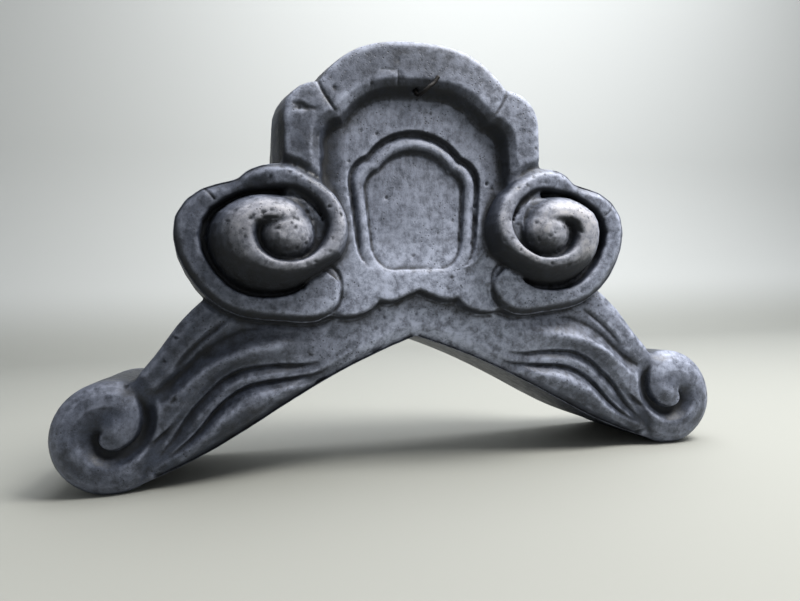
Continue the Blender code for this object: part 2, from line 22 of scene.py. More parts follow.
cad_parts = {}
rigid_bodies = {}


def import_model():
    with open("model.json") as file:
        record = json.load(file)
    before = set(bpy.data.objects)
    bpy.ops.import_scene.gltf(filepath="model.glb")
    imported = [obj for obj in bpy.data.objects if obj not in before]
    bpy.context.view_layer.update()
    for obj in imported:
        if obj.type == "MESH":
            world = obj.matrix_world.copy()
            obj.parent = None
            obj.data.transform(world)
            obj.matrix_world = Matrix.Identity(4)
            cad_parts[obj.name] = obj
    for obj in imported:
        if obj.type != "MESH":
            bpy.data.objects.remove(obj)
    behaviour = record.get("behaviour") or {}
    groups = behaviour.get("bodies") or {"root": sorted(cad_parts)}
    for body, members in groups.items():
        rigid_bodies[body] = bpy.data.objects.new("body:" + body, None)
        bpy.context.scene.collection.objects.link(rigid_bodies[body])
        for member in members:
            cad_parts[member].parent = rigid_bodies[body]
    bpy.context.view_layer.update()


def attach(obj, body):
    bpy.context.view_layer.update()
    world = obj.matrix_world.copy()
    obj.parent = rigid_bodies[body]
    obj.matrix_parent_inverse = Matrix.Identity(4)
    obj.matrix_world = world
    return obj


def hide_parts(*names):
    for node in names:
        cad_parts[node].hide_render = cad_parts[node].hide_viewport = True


LOG = logging.getLogger("roof_end_tile")
MM = 0.001
# The flat face of the legs, and the clay worn off under each foot in millimetres.
LEG_FACE_Y = -0.034
WORN_FOOT = 1.0

# Routes on the right half, each used twice: to rub out the solid's plain groove or edge, and to
# cut it afresh. The plate's edge is given by the angle and the distance from the ball's middle.
LOWER_GROOVE = ((63, 79), (74, 74), (93, 71.5), (112, 70), (124, 67), (136, 60), (145, 52),
                (155, 40), (166, 30), (179, 20))
UPPER_GROOVE = ((66, 83), (83, 81), (103, 81.5), (120, 80.5), (130, 78), (141, 71.5), (150, 63),
                (159, 54), (167, 43), (174, 33), (184, 21))
FOOT_HOOK = ((195.5, 70), (192, 60), (191, 50), (194, 39.5), (201, 32.5), (208.5, 30), (215, 32),
             (218.5, 37), (217.5, 42.5), (213.5, 44.5))
BALL_CENTRE = (94, 170)
PLATE_EDGE = tuple(
    (BALL_CENTRE[0] + reach * math.cos(math.radians(angle)),
     BALL_CENTRE[1] + reach * math.sin(math.radians(angle)))
    for angle, reach in ((215, 50.5), (232, 59.5), (248, 63.5), (276, 58.5), (310, 65), (340, 70),
                         (360, 74), (375, 73), (390, 65), (406, 52.5), (420, 51.5), (440, 50),
                         (460, 48), (490, 44)))


def linear(code: str) -> tuple[float, float, float, float]:
    """Turn an sRGB hex colour into linear values.

    Args:
        code: Six hex digits.

    Returns:
        Red, green, blue and full alpha, all linear.
    """
    parts = [int(code[n:n + 2], 16) / 255 for n in (0, 2, 4)]
    made = [part / 12.92 if part <= 0.04045 else ((part + 0.055) / 1.055) ** 2.4 for part in parts]
    return made[0], made[1], made[2], 1.0


def face_point(x: float, z: float, rise: float) -> Vector:
    """Turn a drawn place and its rise, in millimetres, into a point in metres."""
    return Vector((x * MM, LEG_FACE_Y - rise * MM, (z - WORN_FOOT) * MM))


def add_node(tree: bpy.types.NodeTree, kind: str, settings: dict | None = None,
             links: dict | None = None) -> bpy.types.Node:
    """Add a shader node with its settings and its incoming links.

    Args:
        tree: The material's node tree.
        kind: The node's type name without the ShaderNode prefix.
        settings: Values for the node's own fields and, by name or index, for its sockets.
        links: Sockets that feed the node, by the name or index of the input they go to.

    Returns:
        The new node.
    """
    node = tree.nodes.new("ShaderNode" + kind)
    for name, value in (settings or {}).items():
        if isinstance(name, str) and hasattr(node, name):
            setattr(node, name, value)
        else:
            node.inputs[name].default_value = value
    for name, socket in (links or {}).items():
        tree.links.new(socket, node.inputs[name])
    return node


def feed(tree: bpy.types.NodeTree, entry: bpy.types.NodeSocket,
         value: bpy.types.NodeSocket | float | str) -> None:
    """Give an input the value that it reads.

    Args:
        tree: The material's node tree.
        entry: The input.
        value: A socket to link, a number or a hex colour.
    """
    if isinstance(value, bpy.types.NodeSocket):
        tree.links.new(value, entry)
    else:
        entry.default_value = linear(value) if isinstance(value, str) else value


def ramp(tree: bpy.types.NodeTree, source: bpy.types.NodeSocket,
         stops: list[tuple[float, str]]) -> bpy.types.NodeSocket:
    """Colour a value by hex stops.

    Args:
        tree: The material's node tree.
        source: The value to colour.
        stops: Places from 0 to 1 with their hex colours.

    Returns:
        The colour socket.
    """
    node = add_node(tree, "ValToRGB", links={"Fac": source})
    colours = node.color_ramp.elements
    while len(colours) < len(stops):
        colours.new(0.5)
    for element, (place, code) in zip(colours, stops):
        element.position = place
        element.color = linear(code)
    return node.outputs["Color"]


def stretch(tree: bpy.types.NodeTree, source: bpy.types.NodeSocket, low: float, high: float,
            start: float = 0.0, end: float = 1.0) -> bpy.types.NodeSocket:
    """Map one range of a value smoothly to another.

    Args:
        tree: The material's node tree.
        source: The value to map.
        low: Value that gives start.
        high: Value that gives end.
        start: Result at low and under it.
        end: Result at high and over it.

    Returns:
        The mapped value.
    """
    node = add_node(tree, "MapRange",
                    {"interpolation_type": "SMOOTHSTEP", 1: low, 2: high, 3: start, 4: end},
                    {0: source})
    return node.outputs[0]


def blend(tree: bpy.types.NodeTree, share: bpy.types.NodeSocket | float,
          under: bpy.types.NodeSocket, over: bpy.types.NodeSocket | str,
          way: str = "MIX") -> bpy.types.NodeSocket:
    """Lay one colour over another.

    Args:
        tree: The material's node tree.
        share: How much of the upper colour shows, as a socket or as a number.
        under: The lower colour.
        over: The upper colour, as a socket or as a hex code.
        way: The blend type.

    Returns:
        The mixed colour.
    """
    node = add_node(tree, "Mix", {"data_type": "RGBA", "blend_type": way})
    # The colour sockets share their names with others, so they are reached by number.
    for number, value in ((0, share), (6, under), (7, over)):
        feed(tree, node.inputs[number], value)
    return node.outputs[2]


def combine(tree: bpy.types.NodeTree, first: bpy.types.NodeSocket,
          second: bpy.types.NodeSocket | float, way: str = "MULTIPLY") -> bpy.types.NodeSocket:
    """Multiply or add two values, held between 0 and 1.

    Args:
        tree: The material's node tree.
        first: The first value.
        second: The second value, as a socket or as a number.
        way: MULTIPLY or ADD.

    Returns:
        The result.
    """
    node = add_node(tree, "Math", {"operation": way, "use_clamp": True}, {0: first})
    feed(tree, node.inputs[1], second)
    return node.outputs[0]


@dataclass(frozen=True)
class SmokedClay:
    """Roof-tile clay pressed in a mould, trimmed by hand and smoked black in the kiln.

    The eye sees a dull slate blue-grey skin with a faint metallic bloom, abraded through to paler
    mauve and beige grey on ridges, edges and flat faces. Painted light makes the lit half, the tops
    of the balls and the edges paler still, and painted shade, with some smoke black, darkens grooves,
    hollows, undersides and faces turned from the light. The patterns' sizes are matched, and the
    grain is drawn as coarse as it needs to show.
    """

    slate: str = "1a1f29"
    slate_light: str = "2d3340"
    mauve: str = "424754"
    # Pale grey of real wearing, laid also as painted light and painted highlight.
    rubbed_and_highlit: str = "adb4c8"
    beige: str = "aaa5a3"
    # Near black of painted shade, of smoke black in grooves and of dark specks.
    soot_and_shade: str = "101216"
    chalk: str = "c9c6c0"
    patch_mm: float = 34.0
    mottle_mm: float = 6.0
    grain_mm: float = 1.1
    speck_mm: float = 3.0
    streak_mm: float = 4.0
    streak_squash: float = 0.30
    brushed: float = 0.34
    dark_specks: float = 0.75
    pale_specks: float = 0.30
    roughness: float = 0.60
    burnished: float = 0.40
    sheen: float = 0.42
    ior: float = 1.5

    def cloud(self, tree: bpy.types.NodeTree, place: bpy.types.NodeSocket, size_mm: float,
              detail: float = 4.0, rough: float = 0.55, warp: float = 0.0) -> bpy.types.NodeSocket:
        """Noise whose main lumps measure size_mm.

        Args:
            tree: The material's node tree.
            place: The coordinates to read.
            size_mm: Size of the lumps in millimetres.
            detail: Octaves.
            rough: Strength of the finer octaves.
            warp: Distortion.

        Returns:
            The noise value.
        """
        node = add_node(tree, "TexNoise", {"Scale": 1000.0 / size_mm, "Detail": detail,
                                           "Roughness": rough, "Distortion": warp},
                        {"Vector": place})
        return node.outputs["Fac"]

    def make(self) -> bpy.types.Material:
        """Build the material.

        Returns:
            The material, ready for a piece.
        """
        material = bpy.data.materials.new("smoked_roof_clay")
        material.use_nodes = True
        tree = material.node_tree
        shader = tree.nodes["Principled BSDF"]
        place = add_node(tree, "TexCoord").outputs["Object"]
        # The pale mask holds real wearing with painted light and highlight; the dark mask holds
        # painted shade with some smoke black.
        worn, shade_and_soot_mask, proud, scraped = (
            add_node(tree, "Attribute", {"attribute_name": name}).outputs["Fac"]
            for name in ("worn", "sooty", "proud", "scraped"))

        patches = self.cloud(tree, place, self.patch_mm, 8.0, 0.62, 0.5)
        mottle = self.cloud(tree, place, self.mottle_mm, 8.0, 0.72, 0.2)
        grain = self.cloud(tree, place, self.grain_mm, 4.0, 0.75)
        upright = add_node(tree, "Mapping", {"Scale": (1.0, 1.0, self.streak_squash)},
                           {"Vector": place})
        streaks = self.cloud(tree, upright.outputs[0], self.streak_mm, 6.0, 0.75)

        skin = ramp(tree, patches, [(0.32, self.slate), (0.54, self.slate_light),
                                    (0.74, self.mauve)])
        shade = stretch(tree, mottle, 0.28, 0.72, 0.50, 1.38)
        sanded = stretch(tree, grain, 0.30, 0.70, 0.72, 1.26)
        dull = blend(tree, 1.0, blend(tree, 1.0, skin, shade, "MULTIPLY"), sanded, "MULTIPLY")
        ragged = combine(tree, stretch(tree, mottle, 0.32, 0.66), worn)
        # Paler colour for real wearing, painted light and painted highlight together.
        rub_and_light = combine(tree, combine(tree, ragged, 0.75), combine(tree, worn, 0.25), "ADD")
        rubbed_and_highlit = blend(tree, rub_and_light, dull, self.rubbed_and_highlit)
        warm = combine(tree, combine(tree, proud, rub_and_light), stretch(tree, patches, 0.35, 0.6, 0.35, 0.85))
        rubbed_and_highlit = blend(tree, warm, rubbed_and_highlit, self.beige)
        brushed = combine(tree, stretch(tree, streaks, 0.36, 0.68), scraped)
        rubbed_and_highlit = blend(tree, combine(tree, brushed, self.brushed), rubbed_and_highlit, self.rubbed_and_highlit)
        # Painted shade, with some smoke black, laid dark in grooves, hollows, undersides and faces
        # turned from the light.
        blackened = combine(tree, shade_and_soot_mask, stretch(tree, mottle, 0.30, 0.65, 1.0, 0.80))
        shade_and_smoke_laid = blend(tree, blackened, rubbed_and_highlit, self.soot_and_shade)

        specks = add_node(tree, "TexVoronoi", {"Scale": 1000.0 / self.speck_mm,
                                               "Randomness": 1.0}, {"Vector": place})
        dark_speck = combine(tree, stretch(tree, specks.outputs["Distance"], 0.12, 0.26, 1.0, 0.0),
                             stretch(tree, patches, 0.47, 0.60))
        spotted = blend(tree, combine(tree, dark_speck, self.dark_specks), shade_and_smoke_laid, self.soot_and_shade)
        pale_speck = combine(tree, stretch(tree, specks.outputs["Distance"], 0.06, 0.12, 1.0, 0.0),
                             stretch(tree, mottle, 0.62, 0.68))
        colour = blend(tree, combine(tree, pale_speck, self.pale_specks), spotted, self.chalk)
        tree.links.new(colour, shader.inputs["Base Color"])

        gloss = stretch(tree, mottle, 0.35, 0.65, self.burnished, self.roughness)
        gloss = combine(tree, gloss, combine(tree, shade_and_soot_mask, 0.25), "ADD")
        tree.links.new(gloss, shader.inputs["Roughness"])
        shader.inputs["Specular IOR Level"].default_value = self.sheen
        shader.inputs["IOR"].default_value = self.ior

        fine = add_node(tree, "Bump", {"Strength": 0.22, "Distance": 0.0004}, {"Height": grain})
        rough = add_node(tree, "Bump", {"Strength": 0.30, "Distance": 0.0012},
                         {"Height": mottle, "Normal": fine.outputs[0]})
        holes = add_node(tree, "Bump", {"Strength": 0.35, "Distance": 0.0006, "invert": True},
                         {"Height": dark_speck, "Normal": rough.outputs[0]})
        tree.links.new(holes.outputs[0], shader.inputs["Normal"])
        return material


@dataclass(frozen=True)
class BlackIron:
    """Drawn iron wire, rusted dark: the eye sees a dull brown-black thread with dull glints."""

    dark: str = "0a0909"
    rust: str = "1b1613"
    flake_mm: float = 1.6
    metallic: float = 0.5
    roughness: float = 0.55

    def make(self) -> bpy.types.Material:
        """Build the material.

        Returns:
            The material, ready for a piece.
        """
        material = bpy.data.materials.new("black_iron_wire")
        material.use_nodes = True
        tree = material.node_tree
        shader = tree.nodes["Principled BSDF"]
        place = add_node(tree, "TexCoord").outputs["Object"]
        flakes = add_node(tree, "TexNoise", {"Scale": 1000.0 / self.flake_mm, "Detail": 4.0},
                          {"Vector": place}).outputs["Fac"]
        tree.links.new(ramp(tree, flakes, [(0.4, self.dark), (0.68, self.rust)]),
                       shader.inputs["Base Color"])
        shader.inputs["Metallic"].default_value = self.metallic
        shader.inputs["Roughness"].default_value = self.roughness
        bump = add_node(tree, "Bump", {"Strength": 0.5, "Distance": 0.0002}, {"Height": flakes})
        tree.links.new(bump.outputs[0], shader.inputs["Normal"])
        return material


@dataclass(frozen=True)
class PaintedFloor:
    """Matt paint, grey-green on the floor and paler on the wall: the eye sees an even ground."""

    floor: str = "92938d"
    wall: str = "b4b6b3"
    climb: float = 0.25
    roughness: float = 0.7

    def make(self) -> bpy.types.Material:
        """Build the material.

        Returns:
            The material, ready for a piece.
        """
        material = bpy.data.materials.new("matt_floor_paint")
        material.use_nodes = True
        tree = material.node_tree
        shader = tree.nodes["Principled BSDF"]
        place = add_node(tree, "TexCoord").outputs["Object"]
        height = add_node(tree, "SeparateXYZ", links={0: place}).outputs[2]
        climb = stretch(tree, height, 0.0, self.climb)
        tree.links.new(ramp(tree, climb, [(0.0, self.floor), (1.0, self.wall)]),
                       shader.inputs["Base Color"])
        shader.inputs["Roughness"].default_value = self.roughness
        return material


class Half(Enum):
    """Which half of the tile a mark lies on."""

    BOTH = 0
    LEFT = -1
    RIGHT = 1


class Cut(Enum):
    """Cross section of a stroke.

    A ROUND one is a soft trough and a SHARP one a V. A LIP is steep on the left of its route as
    drawn on the right half, and runs out softly on the other side.
    """

    ROUND = 0
    SHARP = 1
    LIP = 2


@dataclass(frozen=True)
class Stroke:
    """A tool's stroke along a drawn route: a groove where its depth is over 0, else a ridge.

    Its fade is the share of the route over which each end runs out.
    """

    name: str
    route: tuple[tuple[float, float], ...]
    width: float
    depth: float
    half: Half = Half.BOTH
    cut: Cut = Cut.ROUND
    fade: float = 0.15


@dataclass(frozen=True)
class Ironing:
    """A band along a drawn route of the right half where both halves are smoothed out."""

    route: tuple[tuple[float, float], ...]
    reach: float
    rounds: int


@dataclass(frozen=True)
class Dent:
    """A round or long pit at a drawn place, given by its half sizes, its turn and its depth."""

    name: str
    x: float
    z: float
    along: float
    across: float
    turn: float
    depth: float


@dataclass(frozen=True)
class Swell:
    """A soft rise at a drawn place, the same on both halves."""

    name: str
    x: float
    z: float
    along: float
    across: float
    turn: float
    height: float


@dataclass(frozen=True)
class Unevenness:
    """Seeded smooth noise that the hands left in the surface, in millimetres."""

    height: float
    size: float
    seed: float


@dataclass(frozen=True)
class WearAndLight:
    """How strongly each mask makes the clay paler or darker, as shares of the full effect: real
    wearing and smoke, and painted light and shade.
    """

    # Ridges and edges paler: partly real wearing, partly painted highlight.
    crests_and_edge_highlights: float = 0.44
    broad_crests: float = 0.30
    # Painted highlight on the tops of the balls.
    lit_ball_top: float = 0.24
    # Paler around a spot in the lower middle of the face.
    pale_centre: float = 1.25
    middle: float = 0.36
    crown: float = 0.20
    lit_half: float = 0.32
    # Painted shade: the left end is kept darker.
    shade_on_left: float = 0.36
    # Painted shade: faces turned from the light are kept darker.
    shade_away_from_light: float = 0.80
    # Painted shade in creases and hollows, with some smoke black.
    shade_and_soot_in_creases: float = 1.1
    shade_and_soot_in_hollows: float = 0.72


def smooth_route(points: tuple[tuple[float, float], ...], steps: int) -> np.ndarray:
    """Points on a smooth curve through the given ones.

    Args:
        points: Drawn places.
        steps: Steps from one end to the other.

    Returns:
        An array of steps + 1 places.
    """
    given = np.array(points, float)
    padded = np.vstack([2 * given[0] - given[1], given, 2 * given[-1] - given[-2]])
    key = np.linspace(0, len(given) - 1, steps + 1)
    part = np.minimum(key.astype(int), len(given) - 2)
    t = (key - part)[:, None]
    a, b, c, d = (padded[part + n] for n in range(4))
    return 0.5 * (2 * b + (c - a) * t + (2 * a - 5 * b + 4 * c - d) * t ** 2
                  + (3 * b - a - 3 * c + d) * t ** 3)


def step_up(value: np.ndarray, low: float, high: float) -> np.ndarray:
    """Smooth step from 0 at low to 1 at high."""
    share = np.clip((value - low) / (high - low), 0, 1)
    return share * share * (3 - 2 * share)


@dataclass
class ClayBody:
    """The fired clay body, grown from its solid and worked over by hand and weather.

    voxel is in metres, all other lengths are in millimetres. lip is the steep share of a LIP
    stroke's half width and lip_curve the power of its profile. The light direction points to where
    the light comes from, and faces turned from it get painted shade.
    """

    node: str = "tile_body"
    voxel: float = 0.0011
    triangles: int = 192000
    back_edge: float = 71.0
    lip: float = 0.3
    lip_curve: float = 1.4
    iron_depth: float = 9.0
    ironed: tuple[Ironing, ...] = (
        Ironing(LOWER_GROOVE, 6.5, 90), Ironing(UPPER_GROOVE, 6.5, 90),
        Ironing(FOOT_HOOK, 10.5, 90), Ironing(PLATE_EDGE, 7.0, 30))
    uneven: tuple[Unevenness, ...] = (Unevenness(0.26, 26, 3.1), Unevenness(0.12, 7, 8.7))
    wear: WearAndLight = WearAndLight()
    # Where the light comes from: faces turned from it get painted shade.
    light_from: tuple[float, float, float] = (0.36, -0.30, 0.88)
    pale_centre_at: tuple[float, float] = (10, 118)
    pale_centre_spread: tuple[float, float] = (88, 46)
    pit_seed: int = 11
    pits_each_ball: int = 42
    pits_on_face: int = 60
    pit_field: float = 40
    pit_rise: float = 6
    strokes: tuple[Stroke, ...] = (
        Stroke("shoulder crease", ((70.5, 278), (65, 266), (57, 254)), 3.0, 1.3, cut=Cut.SHARP),
        Stroke("leg border line", ((131, 117), (148, 104), (161, 92), (172, 79)), 6.0, 2.2,
               cut=Cut.SHARP, fade=0.25),
        Stroke("leg valley", ((118, 104), (143, 93), (160, 82), (174, 70), (184, 60)), 18.0, 1.7,
               fade=0.3),
        Stroke("upper swelling", ((72, 97), (98, 95), (121, 92), (142, 84), (159, 73), (172, 60)),
               17.0, -1.9, fade=0.3),
        Stroke("lower swelling", ((95, 66), (120, 56), (142, 44), (160, 30), (176, 17)), 16.0,
               -1.8, fade=0.3),
        Stroke("lower leg groove", LOWER_GROOVE, 10.0, 4.0, cut=Cut.LIP, fade=0.16),
        Stroke("upper leg groove", UPPER_GROOVE, 10.0, 3.7, cut=Cut.LIP, fade=0.16),
        Stroke("lower bevel", ((0, 97.5), (30, 86), (60, 72.5), (95, 54), (128, 35), (158, 19.5),
                               (184, 6)), 19.0, 4.2, cut=Cut.SHARP, fade=0.02),
        Stroke("foot hook", FOOT_HOOK, 14.0, 4.9, cut=Cut.LIP, fade=0.18),
        Stroke("plate edge", PLATE_EDGE, 13.0, 2.6, fade=0.06),
        Stroke("tail end", ((67, 149.5), (61, 147.5), (57, 141), (56.2, 131), (58.5, 122),
                            (64, 115.5)), 3.4, 1.8, cut=Cut.SHARP, fade=0.1),
        Stroke("corner fold", ((51, 161), (46, 154), (40, 148.5), (32, 146)), 2.4, -0.9, Half.RIGHT),
        Stroke("wall line", ((92, 200), (82, 193), (76.5, 182), (76, 170), (79, 160)), 1.6, -0.7,
               cut=Cut.SHARP),
        Stroke("split in the band", ((-147, 203), (-143, 199), (-139, 194)), 1.6, 1.5, Half.LEFT,
               Cut.SHARP),
        Stroke("split in the band", ((158, 194), (154, 188), (148.5, 184)), 1.6, 1.5, Half.RIGHT,
               Cut.SHARP),
        Stroke("let-in patch side", ((-13, 272), (-12.4, 286)), 1.5, 0.9, Half.LEFT, Cut.SHARP,
               0.05),
        Stroke("let-in patch top", ((-26, 286.5), (-12, 287)), 1.3, 0.6, Half.LEFT, Cut.SHARP,
               0.05),
    )
    dents: tuple[Dent, ...] = (
        Dent("wall pit", 55.2, 208.9, 1.6, 1.4, 0, 1.6),
        Dent("floor pit", -49.1, 199.7, 1.5, 1.5, 0, 1.2),
        Dent("panel pit", 17.0, 172.8, 1.2, 1.0, 0, 0.9),
        Dent("floor chip", 25.2, 139.8, 1.8, 1.2, 20, 0.8),
        Dent("floor chip", 21.8, 131.1, 1.3, 1.0, 0, 0.7),
        Dent("leg pit", -180.1, 98.9, 2.0, 1.3, 40, 1.0),
        Dent("leg pit", -168.6, 103.1, 1.8, 1.3, 0, 1.1),
        Dent("leg pit", -176.6, 88.0, 1.6, 1.2, 30, 0.9),
        Dent("leg pit", -200.8, 72.0, 2.0, 1.6, 0, 1.2),
        Dent("rim gouge", -80.5, 257.5, 8.5, 3.2, -12, 1.1),
        Dent("edge chip", -30.5, 88.0, 6.5, 2.6, 24, 1.4),
        Dent("edge chip", -71.5, 67.0, 8.0, 2.6, 26, 1.3),
        Dent("eye slot", -105.5, 178.8, 5.2, 1.6, 5, 1.6),
        Dent("eye pit", -116.5, 178.5, 2.0, 1.6, 0, 1.1),
        Dent("ragged eye", 107.0, 176.0, 4.0, 2.2, -35, 1.6),
        Dent("ragged eye", 114.0, 170.5, 3.6, 1.8, -40, 1.3),
        Dent("foot chip", 182.3, 13.0, 2.4, 1.4, 20, 1.0),
        Dent("groove chip", -170.7, 61.8, 3.0, 1.6, 50, 1.2),
    )
    swells: tuple[Swell, ...] = (
        Swell("foot knob", 205.5, 45.0, 13.5, 13.5, 0, 2.2),
        Swell("foot heel", 228.0, 30.0, 16.0, 11.0, 50, 1.0),
        Swell("panel belly", 0.0, 188.0, 33.0, 38.0, 0, 1.6),
        Swell("ball crown", 95.0, 171.0, 15.0, 14.0, 0, 1.0),
    )

    def blank(self, source: bpy.types.Object) -> bpy.types.Object:
        """Grow a fine, soft-edged mesh from the solid.

        Args:
            source: The CAD node.

        Returns:
            The new object.
        """
        shape = bmesh.new()
        shape.from_mesh(source.data)
        bmesh.ops.remove_doubles(shape, verts=shape.verts, dist=1e-6)
        mesh = bpy.data.meshes.new("clay_body")
        shape.to_mesh(mesh)
        shape.free()
        body = bpy.data.objects.new("clay_body", mesh)
        bpy.context.scene.collection.objects.link(body)
        remesh = body.modifiers.new("Grow", "REMESH")
        remesh.mode = "VOXEL"
        remesh.voxel_size = self.voxel
        remesh.use_smooth_shade = True
        soften = body.modifiers.new("Soften", "SMOOTH")
        soften.factor = 0.5
        soften.iterations = 4
        self.apply(body)
        return body

    @staticmethod
    def apply(piece: bpy.types.Object) -> None:
        """Bake a piece's modifiers into its mesh.

        Args:
            piece: The piece, which keeps its name and loses its modifiers.
        """
        bpy.context.view_layer.update()
        baked = bpy.data.meshes.new_from_object(
            piece.evaluated_get(bpy.context.evaluated_depsgraph_get()))
        old = piece.data
        piece.modifiers.clear()
        piece.data = baked
        baked.name = piece.name
        bpy.data.meshes.remove(old)

    @staticmethod
    def places(mesh: bpy.types.Mesh) -> tuple[np.ndarray, np.ndarray]:
        """Vertex places in millimetres and vertex normals.

        Args:
            mesh: The mesh to read.

        Returns:
            Two arrays with a row for each vertex.
        """
        count = len(mesh.vertices)
        spots = np.empty(count * 3)
        mesh.vertices.foreach_get("co", spots)
        normals = np.empty(count * 3)
        mesh.vertex_normals.foreach_get("vector", normals)
        return spots.reshape(-1, 3) / MM, normals.reshape(-1, 3)

    @staticmethod
    def route_distance(drawn: np.ndarray,
                       route: np.ndarray) -> tuple[np.ndarray, np.ndarray, np.ndarray]:
        """Distance of drawn places from a route, and how far along it each lies.

        Args:
            drawn: Places, one a row.
            route: Points of the route.

        Returns:
            The distances in millimetres, the shares of the route's length, and whether each place
            lies to the left of it.
        """
        best = np.full(len(drawn), 1e9)
        along = np.zeros(len(drawn))
        left = np.zeros(len(drawn), bool)
        legs = len(route) - 1
        for n in range(legs):
            start, run = route[n], route[n + 1] - route[n]
            share = np.clip(((drawn - start) @ run) / max(run @ run, 1e-9), 0, 1)
            gap = np.linalg.norm(drawn - start - share[:, None] * run, axis=1)
            nearer = gap < best
            best[nearer] = gap[nearer]
            along[nearer] = (n + share[nearer]) / legs
            off = drawn[nearer] - start
            left[nearer] = run[0] * off[:, 1] > run[1] * off[:, 0]
        return best, along, left

    def stroke_depth(self, stroke: Stroke, drawn: np.ndarray) -> np.ndarray:
        """Depth that a stroke takes off at each drawn place.

        Args:
            stroke: The stroke.
            drawn: Drawn places, one a row.

        Returns:
            The depths in millimetres.
        """
        depth = np.zeros(len(drawn))
        sides = (-1, 1) if stroke.half is Half.BOTH else (stroke.half.value,)
        for side in sides:
            route = smooth_route(stroke.route, 6 * len(stroke.route))
            if stroke.half is Half.BOTH:
                route = route * (side, 1)
            low, high = route.min(0) - stroke.width, route.max(0) + stroke.width
            near = np.flatnonzero(((drawn > low) & (drawn < high)).all(1))
            if not len(near):
                continue
            gap, along, left = self.route_distance(drawn[near], route)
            flank = np.full(len(near), stroke.width * 0.5)
            if stroke.cut is Cut.LIP:
                flank = np.where(left == (side > 0), self.lip * flank, (2 - self.lip) * flank)
            reach = np.clip(1 - gap / flank, 0, 1)
            if stroke.cut is Cut.ROUND:
                profile = reach * reach * (3 - 2 * reach)
            elif stroke.cut is Cut.SHARP:
                profile = reach
            else:
                profile = reach ** self.lip_curve
            ends = step_up(along, 0, stroke.fade) * step_up(1 - along, 0, stroke.fade)
            depth[near] += stroke.depth * profile * ends
        return depth

    @staticmethod
    def dent_depth(dent: Dent, drawn: np.ndarray) -> np.ndarray:
        """Depth that a dent takes off at each drawn place, with a ragged edge.

        Args:
            dent: The dent.
            drawn: Drawn places, one a row.

        Returns:
            The depths in millimetres.
        """
        turn = math.radians(dent.turn)
        off = drawn - (dent.x, dent.z)
        along = (off[:, 0] * math.cos(turn) + off[:, 1] * math.sin(turn)) / dent.along
        across = (off[:, 1] * math.cos(turn) - off[:, 0] * math.sin(turn)) / dent.across
        angle = np.arctan2(across, along)
        ragged = 1 + 0.18 * np.sin(3 * angle + dent.x) + 0.12 * np.sin(5 * angle + dent.z)
        reach = np.clip(1 - np.hypot(along, across) / ragged, 0, 1)
        return dent.depth * np.minimum(reach * 1.8, 1) ** 0.8

    def kiln_pits(self) -> list[Dent]:
        """Small pits burnt and knocked into the front, thickest on the two balls.

        Returns:
            The pits, the same on each run.
        """
        chance = np.random.default_rng(self.pit_seed)
        pits = []
        for side in (-1, 1):
            for _ in range(self.pits_each_ball):
                turn = chance.uniform(0, math.tau)
                far = self.pit_field * math.sqrt(chance.uniform())
                pits.append((side * BALL_CENTRE[0] + far * math.cos(turn),
                             BALL_CENTRE[1] + self.pit_rise + far * math.sin(turn)))
        pits += [(chance.uniform(-120, 120), chance.uniform(85, 300))
                 for _ in range(self.pits_on_face)]
        return [Dent("kiln pit", x, z, chance.uniform(1.1, 2.3), chance.uniform(0.9, 1.6),
                     chance.uniform(0, 180), chance.uniform(0.35, 0.9)) for x, z in pits]

    @staticmethod
    def swell_height(swell: Swell, drawn: np.ndarray) -> np.ndarray:
        """Height that a swell adds at each drawn place.

        Args:
            swell: The swell.
            drawn: Drawn places, one a row.

        Returns:
            The heights in millimetres.
        """
        turn = math.radians(swell.turn)
        off = np.column_stack([np.abs(drawn[:, 0]) - abs(swell.x), drawn[:, 1] - swell.z])
        along = (off[:, 0] * math.cos(turn) + off[:, 1] * math.sin(turn)) / swell.along
        across = (off[:, 1] * math.cos(turn) - off[:, 0] * math.sin(turn)) / swell.across
        reach = np.clip(1 - np.hypot(along, across), 0, 1)
        return swell.height * reach * reach * (3 - 2 * reach)

    @staticmethod
    def lumps(uneven: Unevenness, spots: np.ndarray) -> np.ndarray:
        """Height that one kind of unevenness adds at each place.

        Args:
            uneven: Its height, the size of its lumps and its seed.
            spots: Places in millimetres, one a row.

        Returns:
            The heights in millimetres, up and down.
        """
        scale = 1 / uneven.size
        shift = Vector((uneven.seed, uneven.seed * 2.3, uneven.seed * 4.1))
        return uneven.height * np.array([noise.noise(Vector(spot) * scale + shift)
                                         for spot in spots])

    def iron_out(self, body: bpy.types.Object) -> None:
        """Rub out the solid's plain grooves and the plates' edges, which the strokes cut afresh.

        Args:
            body: The blank.
        """
        mesh = body.data
        spots, _ = self.places(mesh)
        drawn = np.column_stack([spots[:, 0], spots[:, 2] + WORN_FOOT])
        edges = self.edge_pairs(mesh)
        deepest = LEG_FACE_Y / MM + self.iron_depth
        for band in self.ironed:
            share = np.zeros(len(spots))
            for side in (-1, 1):
                route = smooth_route(band.route, 4 * len(band.route)) * (side, 1)
                low, high = route.min(0) - band.reach, route.max(0) + band.reach
                near = np.flatnonzero(((drawn > low) & (drawn < high)).all(1)
                                      & (spots[:, 1] < deepest))
                gap = self.route_distance(drawn[near], route)[0]
                share[near] = np.maximum(share[near], step_up(1 - gap / band.reach, 0, 0.4))
            share *= step_up(deepest - spots[:, 1], 0, 5)
            picked = np.flatnonzero(share > 0)
            inside = edges[(share > 0)[edges].any(1)]
            for _ in range(band.rounds):
                for axis in range(3):
                    smooth = self.spread(spots[:, axis], inside, 1)
                    spots[picked, axis] += share[picked] * (smooth - spots[:, axis])[picked]
        mesh.vertices.foreach_set("co", (spots * MM).ravel())
        mesh.update()

